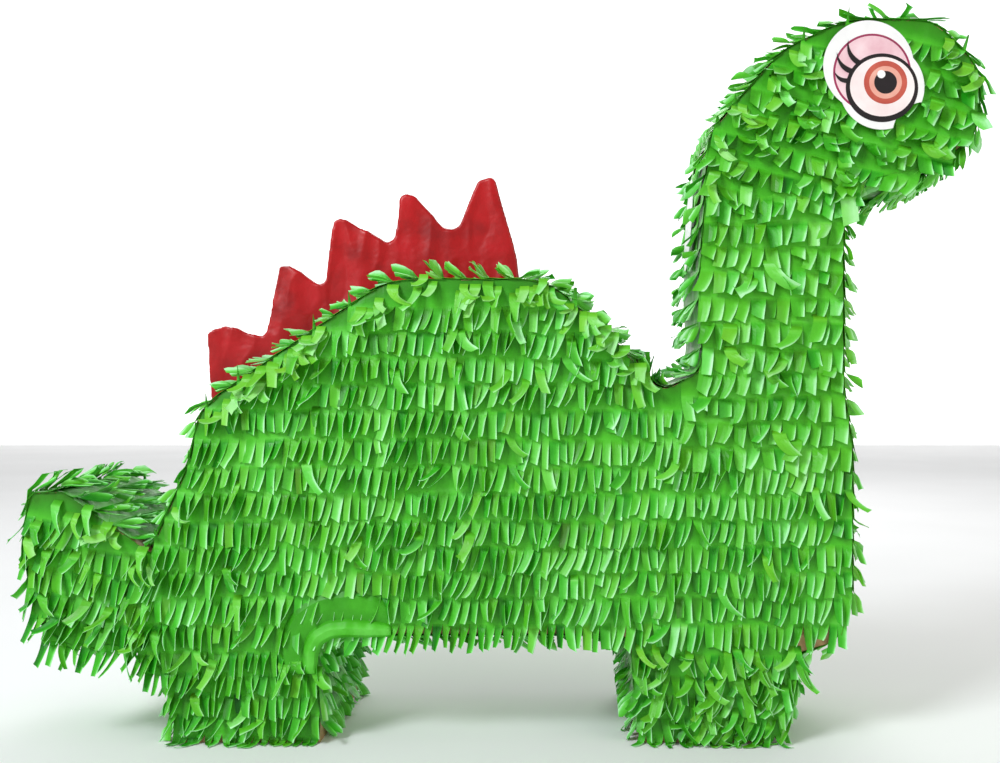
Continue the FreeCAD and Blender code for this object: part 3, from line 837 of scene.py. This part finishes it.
# Piece, and its strips: strip, way the fringe hangs along the rim, bands of Y, changes to the look.
# Changed tones paint light and shade: the belly, underneath, and the saddle, in its dip, are darker as
# painted shade. The hump's top, the back, the chest and the neck's front are lighter as painted light. More
# warmth on the chest, neck front and chin is painted warm light from the right.
EDGE_FRINGES = [
    ("tail", [("tail_top", -1, FULL_DEPTH, dict(lift=7.0, length=15.0, loose=0.4, width=4.2)),
              ("tail_end", 1, FULL_DEPTH, {}),
              ("tail_under", 1, FULL_DEPTH, {})]),
    ("rear_leg", [("rear_leg_back", 1, FULL_DEPTH, {}),
                  ("rear_leg_inner", -1, FULL_DEPTH, dict(lift=3.5))]),
    ("belly", [("belly", 1, FULL_DEPTH, dict(lift=3.0, tone=0.34))]),
    ("front_leg", [("front_leg_inner", 1, FULL_DEPTH, dict(lift=6.0, loose=0.4)),
                   ("front_leg_front", -1, FULL_DEPTH, dict(lift=4.0))]),
    ("chest", [("chest", -1, FULL_DEPTH, dict(warm=0.3, tone=0.5)),
               ("neck_front", -1, FULL_DEPTH, dict(warm=0.3, tone=0.5))]),
    ("chin", [("chin", -1, FULL_DEPTH, dict(lift=7.0, warm=0.25))]),
    ("head", [("face", -1, FULL_DEPTH, dict(loose=0.35)),
              ("head_top", 1, FULL_DEPTH, dict(loose=0.35))]),
    ("saddle", [("saddle", 1, FULL_DEPTH, dict(tone=0.4)),
                ("hump_slope", -1, FULL_DEPTH, dict(lift=4.0))]),
    ("hump", [("hump_top", 1, BESIDE_CREST, dict(lift=5.0, loose=0.35, warm=0.35, tone=0.56))]),
    ("back", [("back", 1, BESIDE_CREST, dict(lift=4.5, tone=0.5))]),
    ("rump", [("rump", 1, FULL_DEPTH, {})]),
]


# Seeds after these numbers belong to the edges, the neck's back and flap, and the belly bands.
EDGE_SEEDS, NECK_SEED, FLAP_SEED, BELLY_SEED = 100, 200, 201, 300


def build_edge_fringes():
    for index, (name, strips) in enumerate(EDGE_FRINGES):
        rng = np.random.default_rng([SEED, EDGE_SEEDS + index])
        sheet = Sheet()
        for strip, way, bands, changes in strips:
            edge_rows(sheet, "edge_" + strip, way, EDGE_LOOK.but(**changes), rng, bands)
        paper_object(f"tissue_edge_{name}", sheet, "pinata", [f"fringe_edge_{name}"])


FLAP_SLOPE = 0.58               # rise of the paper from the crease, which clears the flap at its limit
FLAP_SIDE_GAP = 1.2 * MM        # between the neck's fringe and the flap's edge
FLAP_HEADROOM = 3.2 * MM        # between the neck's tips and the crease
FLAP_LOW, FLAP_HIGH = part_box("fill_flap")
FLAP_LENGTH = FLAP_HIGH.z - FLAP_LOW.z
FLAP_HALF = FLAP_HIGH.y
HINGE = next(j for j in frame["joints"] if j["name"] == "fill_flap_hinge")["pos_m"]
HINGE_AT = OUTLINE.station(HINGE[0], HINGE[2])[0]
NECK_LOW, NECK_HIGH = OUTLINE.span("edge_neck_back")


def rows_above_flap(sheet, surface, look, reach, rng):
    """Rows from the crease up over the nape. Those next to the crease lie flatter, to clear the flap."""
    flatter = look.but(lift=2.6, lift_spread=0.7, loose=0.0, twist_spread=12.0)
    next_to_crease = 20.0 * MM
    past_end = 8.0 * MM

    def clear_of_flap(along, across, height):
        """Heights held under the open flap: the two slopes share the angle between them."""
        return np.minimum(height, FLAP_SLOPE * np.abs(HINGE_AT - NECK_LOW - along))

    tips = HINGE_AT - FLAP_HEADROOM - NECK_LOW
    while tips - reach > -past_end:
        if tips > HINGE_AT - NECK_LOW - next_to_crease:
            comb_row(sheet, surface, tips - reach, *FULL_DEPTH[0], flatter, rng, press=clear_of_flap)
        else:
            comb_row(sheet, surface, tips - reach, *FULL_DEPTH[0], look, rng)
        tips -= EDGE_PITCH


def rows_beside_flap(sheet, surface, look, reach, rng):
    """Rows on both sides of the flap, then whole ones below it."""
    beside = [(-OVER_SEAM, -FLAP_HALF - FLAP_SIDE_GAP), (FLAP_HALF + FLAP_SIDE_GAP, OVER_SEAM)]
    flap_end = HINGE_AT + FLAP_LENGTH - NECK_LOW
    clearance = 1.0 * MM
    tips = HINGE_AT - NECK_LOW + EDGE_PITCH
    while tips - reach < NECK_HIGH - NECK_LOW:
        whole = tips - reach > flap_end + clearance
        for start, end in (FULL_DEPTH if whole else beside):
            comb_row(sheet, surface, tips - reach, start, end, look, rng)
        tips += EDGE_PITCH


def build_neck_back():
    """The neck's back, parted round the fill flap."""
    look = EDGE_LOOK.but(tone=0.50, lift=5.5, loose=0.3)
    rng = np.random.default_rng([SEED, NECK_SEED])
    sheet = Sheet()
    surface = EdgeSurface(NECK_LOW, 1)
    reach = look.length * 1.1 * MM
    rows_above_flap(sheet, surface, look, reach, rng)
    rows_beside_flap(sheet, surface, look, reach, rng)
    paper_object("tissue_edge_neck_back", sheet, "pinata", ["fringe_edge_neck_back"])


def build_flap_fringe():
    """The flap's own fringe, which lies flat and turns with it."""
    rows = 4
    inset = 0.6 * MM            # the paper stops short of the flap's sides
    end_inset = 1.5 * MM        # and of its free end
    flattest = 4.2 * MM
    look = EDGE_LOOK.but(tone=0.52, lift=2.2, lift_spread=0.5, loose=0.0, twist_spread=10.0, header=13.0)
    rng = np.random.default_rng([SEED, FLAP_SEED])
    sheet = Sheet()
    surface = EdgeSurface(HINGE_AT, 1)
    half = FLAP_HALF - inset

    def top(across, along):
        return along - 1.0 * MM

    def press(along, across, height):
        return np.minimum(height, np.minimum(flattest, FLAP_SLOPE * along))

    for k in range(rows):
        tips = FLAP_LENGTH * (k + 1) / rows - end_inset
        comb_row(sheet, surface, tips - look.length * 1.15 * MM, -half, half, look, rng,
                 top=top, press=press)
    paper_object("tissue_flap", sheet, "flap", ["fringe_flap"])


# The belly band from its glued upper edge to the roll at the rim: how far inwards from the rim, how far
# off the card, both in millimetres, and its shade, painted: lighter where the band stands furthest off,
# darker in its dip and where it tucks under the rim.
BAND_PROFILE = np.array([
    (24.0, 2.0, 0.26),
    (21.0, 4.0, 0.32),
    (15.0, 4.6, 0.36),
    (9.0, 4.2, 0.30),
    (7.5, 6.0, 0.44),
    (4.0, 7.4, 0.62),
    (0.5, 6.8, 0.56),
    (-1.6, 4.4, 0.36),
    (-1.2, 1.0, 0.20),
])
BAND_POINTS = 90            # along the rim
BAND_WARM = 0.12


def build_belly_bands():
    """A smooth strip of paper rolled over the rim of the arch behind the rear leg."""
    up_the_leg = 40.0 * MM      # it starts this far along the leg's inner strip
    along_belly = 22.0 * MM     # and ends this far along the belly
    start = OUTLINE.span("edge_rear_leg_inner")[0] + up_the_leg
    end = OUTLINE.span("edge_belly")[0] + along_belly
    distance = np.linspace(start, end, BAND_POINTS)
    inward_mm, height_mm, tones = BAND_PROFILE.T[:, :, None]
    fade = np.sin(np.linspace(0.0, math.pi, BAND_POINTS)) ** 0.35
    for side, suffix in SIDES:
        rng = np.random.default_rng([SEED, BELLY_SEED, side + 1])
        ripple = 0.5 * MM * wave(distance, 6.0 * MM, rng)
        inwards = inward_mm * MM * (0.45 + 0.55 * fade) + ripple * 0.8
        height = height_mm * MM * (0.6 + 0.4 * fade) + ripple
        spot = OUTLINE.point(distance) - OUTLINE.outward(distance) * inwards[..., None]
        points = np.stack([spot[..., 0], side * (HALF_DEPTH + height), spot[..., 1]], axis=-1)
        tone = tones + 0.05 * wave(distance, 14.0 * MM, rng)
        sheet = Sheet()
        sheet.add(points, grid_faces(len(tones), BAND_POINTS), shade(tone, BAND_WARM, 0.0), side == NEAR)
        paper_object(f"tissue_belly_band_{suffix}", sheet, "pinata", [])


def slab_mesh(name, outline, first_y, second_y, inside_out, material):
    """A flat closed shape between two places in Y, from the corners of its outline in metres."""
    count = len(outline)
    points = [(x, y, z) for y in (first_y, second_y) for x, z in outline]
    faces = [tuple(reversed(range(count))), tuple(range(count, 2 * count))]
    faces += [(i, (i + 1) % count, count + (i + 1) % count, count + i) for i in range(count)]
    if inside_out:
        faces = [tuple(reversed(face)) for face in faces]
    return new_mesh(name, points, faces, material)


# ---------------------------------------------------------------- crest
CREST_VOXEL = 0.9 * MM
DEEPEST_CREASE = -0.1       # in millimetres, so that the card inside stays covered


def remeshed(piece, voxel):
    """The piece's shape as an even mesh of small faces."""
    remesh = piece.modifiers.new("remesh", "REMESH")
    remesh.mode = "VOXEL"
    remesh.voxel_size = voxel
    remesh.use_smooth_shade = True
    depsgraph = bpy.context.evaluated_depsgraph_get()
    mesh = bpy.data.meshes.new_from_object(piece.evaluated_get(depsgraph))
    piece.modifiers.clear()
    return mesh


def read_vectors(vertices, field):
    values = np.zeros(len(vertices) * 3)
    vertices.foreach_get(field, values)
    return values.reshape(-1, 3)


def build_crest():
    """Red paper wrapped over the card zigzag, crinkled and puffed."""
    low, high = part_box("crest_cover")
    half = (high.y - low.y) / 2.0
    rim = flat_rim("crest_cover", low.y)
    piece = new_object("crest_paper", slab_mesh("crest_paper", rim, -half, half, True, RED_PAPER))
    mesh = remeshed(piece, CREST_VOXEL)
    points = read_vectors(mesh.vertices, "co")
    moves = np.array([crinkle(Vector(point)) for point in points])
    points += read_vectors(mesh.vertices, "normal") * moves[:, None]
    mesh.vertices.foreach_set("co", points.ravel())
    mesh.materials.clear()
    mesh.materials.append(RED_PAPER)
    mesh.update()
    piece.data = mesh
    finish_piece(piece, "pinata", ["crest_cover"])


def crinkle(place):
    """How far the red paper stands off the card at a place. Most waves run up and down."""
    spread = Vector((place.x, place.y * 2.0, place.z * 0.4))
    broad = noise.noise(spread * 55.0)
    creases = abs(noise.noise(spread * 85.0 + Vector((3.1, 0.0, 0.0))))
    fine = noise.noise(place * 420.0)
    return max(1.2 + 1.7 * broad - 2.0 * creases + 0.10 * fine, DEEPEST_CREASE) * MM


# ---------------------------------------------------------------- printed eyes
EYE_PAPER = 0.4 * MM        # thickness of the sticker
INK = 0.06 * MM             # and of each printed layer
INK_STEP = 0.05 * MM        # from one layer's back to the next
TOP_LAYER = 8               # the lashes all lie on this one


def disc(middle, radius, squash=1.0):
    """Points of a round or squashed outline, anticlockwise seen from the near side."""
    angles = np.linspace(0.0, 2.0 * math.pi, 64, endpoint=False)
    return [(middle[0] + radius * math.cos(a), middle[1] + radius * squash * math.sin(a)) for a in angles]


def lash(root, tip, bend, width):
    """A curved lash from its broad root to its pointed tip."""
    way = tip - root
    side = np.array([-way[1], way[0]]) / np.hypot(*way)
    t = np.linspace(0.0, 1.0, 9)[:, None]
    middle = root + way * t + side * bend * 4.0 * t * (1.0 - t)
    half = side * width * 0.5 * (1.0 - t ** 1.3)
    return [tuple(p) for p in middle - half] + [tuple(p) for p in (middle + half)[::-1][1:]]


def plate(name, outline, side, y, thickness, material, replaced=None):
    """A thin printed shape: outline is in metres, y is how far its back stands off the middle."""
    mesh = slab_mesh(name, outline, side * y, side * (y + thickness), side == FAR, material)
    return finish_piece(new_object(name, mesh), "pinata", replaced)


def printed_layers(ball):
    """Name, outline and ink of each printed layer, from the lowest, in millimetres from the eyeball."""
    line = printed_material("sticker_magenta", color(170, 52, 96), color(140, 34, 74))
    lid = printed_material("sticker_lid", color(250, 222, 226), color(226, 172, 184))
    black = printed_material("sticker_black", color(30, 20, 24), color(14, 8, 10))
    white = printed_material("sticker_ball", color(252, 242, 240), color(242, 220, 220))
    rust = printed_material("sticker_rust", color(206, 96, 78), color(170, 60, 50))
    rose = printed_material("sticker_rose", color(240, 178, 160), color(222, 140, 124))
    glint = printed_material("sticker_glint", color(250, 248, 247), color(238, 236, 236))
    lid_middle = ball + (-5.5, 8.5)
    iris = ball + (2.0, 3.0)
    layers = [
        ("lid_line", disc(lid_middle, 22.0), line),
        ("lid", disc(lid_middle, 20.8), lid),
        ("ball_line", disc(ball, 20.4, squash=0.95), black),
        ("ball", disc(ball + (0.2, 0.6), 18.2, squash=0.92), white),
        ("iris", disc(iris, 12.2), rust),
        ("iris_inner", disc(iris, 9.2), rose),
        ("pupil", disc(iris, 6.4), black),
        ("glint", disc(iris + (-2.4, 4.6), 2.3), glint),
    ]
    # Root, tip, bend and width of each lash.
    lashes = [
        ((-13.0, 14.0), (-19.0, 27.0), 2.4, 3.6),
        ((-16.5, 9.0), (-25.5, 20.0), 2.4, 3.6),
        ((-18.5, 4.0), (-27.0, 9.5), 2.0, 3.2),
    ]
    for k, (root, tip, bend, width) in enumerate(lashes):
        layers.append((f"lash_{k}", lash(ball + root, ball + tip, bend, width), black))
    return layers


def build_eyes():
    paper = printed_material("sticker_white", color(250, 248, 247), color(238, 236, 236))
    low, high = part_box("eye_near")
    back = -low.y
    ball = np.array([(low.x + high.x) / 2.0 / MM + 4.5, high.z / MM - 38.0])
    layers = printed_layers(ball)
    for side, suffix in SIDES:
        plate(f"eye_{suffix}_base", EYE_RIM, side, back - EYE_PAPER, EYE_PAPER, paper, [f"eye_{suffix}"])
        for k, (name, outline, ink) in enumerate(layers):
            outline = [(x * MM, z * MM) for x, z in outline]
            plate(f"eye_{suffix}_{name}", outline, side, back + INK_STEP * min(k, TOP_LAYER), INK, ink)


# ---------------------------------------------------------------- finish of the CAD pieces
def dress_frame():
    """Materials for every card and tape piece of the frame, and for the label."""
    label = printed_material("label_paper", color(246, 247, 246), color(230, 233, 232),
                             scale=90.0, roughness=0.5)
    for name, node in frame["nodes"].items():
        if name.startswith("seam_tape"):
            material = TAPE_PAPER
        elif name == "neck_label":
            material = label
        else:
            material = CARD_BOARD
        node.data.materials.clear()
        node.data.materials.append(material)


# ---------------------------------------------------------------- studio
STUDIO_SIZE = 3.0
AIM = Vector((0.0, 0.0, 0.2))
WHITE = (1.0, 1.0, 1.0)

# Name, place, size of its square, watts and colour of each lamp.
LAMPS = [
    ("key", (-1.1, -1.2, 1.3), 0.6, 27.0, (0.92, 0.97, 1.0)),
    ("fill", (1.4, -1.0, 0.6), 0.8, 6.0, (1.0, 0.96, 0.84)),
    ("back", (0.2, 1.3, 1.2), 0.9, 8.0, WHITE),
]


def floor_material():
    material, nodes, links, shader = new_material("pale_floor")
    cloud = noise_node(nodes, links, scale=3.0, detail=2.0)
    tint = ramp_node(nodes, [(0.3, color(243, 243, 243)), (0.7, color(248, 248, 248))])
    links.new(cloud.outputs["Fac"], tint.inputs["Fac"])
    links.new(tint.outputs["Color"], shader.inputs["Base Color"])
    shader.inputs["Roughness"].default_value = 0.9
    return material


def backdrop_material():
    material, nodes, links, shader = new_material("white_backdrop")
    shader.inputs["Base Color"].default_value = (0.9, 0.9, 0.9, 1.0)
    shader.inputs["Emission Color"].default_value = (*WHITE, 1.0)
    shader.inputs["Emission Strength"].default_value = 0.8
    return material


def stage_sheet(name, corners, material):
    new_object(name, new_mesh(name, corners, [(0, 1, 2, 3)], material))


def build_studio():
    """Plain pale floor, a white backdrop behind the far side, even light and three soft lamps."""
    size = STUDIO_SIZE
    stage_sheet("studio_floor", [(-size, -size, 0), (size, -size, 0), (size, size, 0), (-size, size, 0)],
                floor_material())
    stage_sheet("studio_backdrop",
                [(-size, size, 0), (-size, size, size), (size, size, size), (size, size, 0)],
                backdrop_material())
    world = bpy.data.worlds.new("studio")
    bpy.context.scene.world = world
    world.use_nodes = True
    background = world.node_tree.nodes["Background"]
    background.inputs["Color"].default_value = (*WHITE, 1.0)
    background.inputs["Strength"].default_value = 0.42
    for lamp in LAMPS:
        add_lamp(*lamp)
    bpy.context.scene.view_settings.view_transform = "Standard"


def add_lamp(name, place, size, watts, tint):
    light = bpy.data.lights.new(name, "AREA")
    light.size = size
    light.energy = watts
    light.color = tint
    lamp = new_object(name, light)
    lamp.location = place
    lamp.rotation_euler = (AIM - Vector(place)).to_track_quat("-Z", "Y").to_euler()


CAMERA_X = 0.0505
CAMERA_Z = 0.203
CAMERA_DISTANCE = 0.614     # from the near panel


def build_camera():
    """A camera half way up the animal, square to its near side."""
    camera = bpy.data.cameras.new("camera")
    camera.lens = 38.9
    camera.sensor_width = 36.0
    camera.shift_x = -0.09
    camera.shift_y = 0.0035
    holder = new_object("camera", camera)
    holder.location = (CAMERA_X, -HALF_DEPTH - CAMERA_DISTANCE, CAMERA_Z)
    holder.rotation_euler = (math.radians(90.0), 0.0, 0.0)
    bpy.context.scene.camera = holder


dress_frame()
build_face_fringes()
build_edge_fringes()
build_neck_back()
build_flap_fringe()
build_belly_bands()
build_crest()
build_eyes()
build_studio()
build_camera()
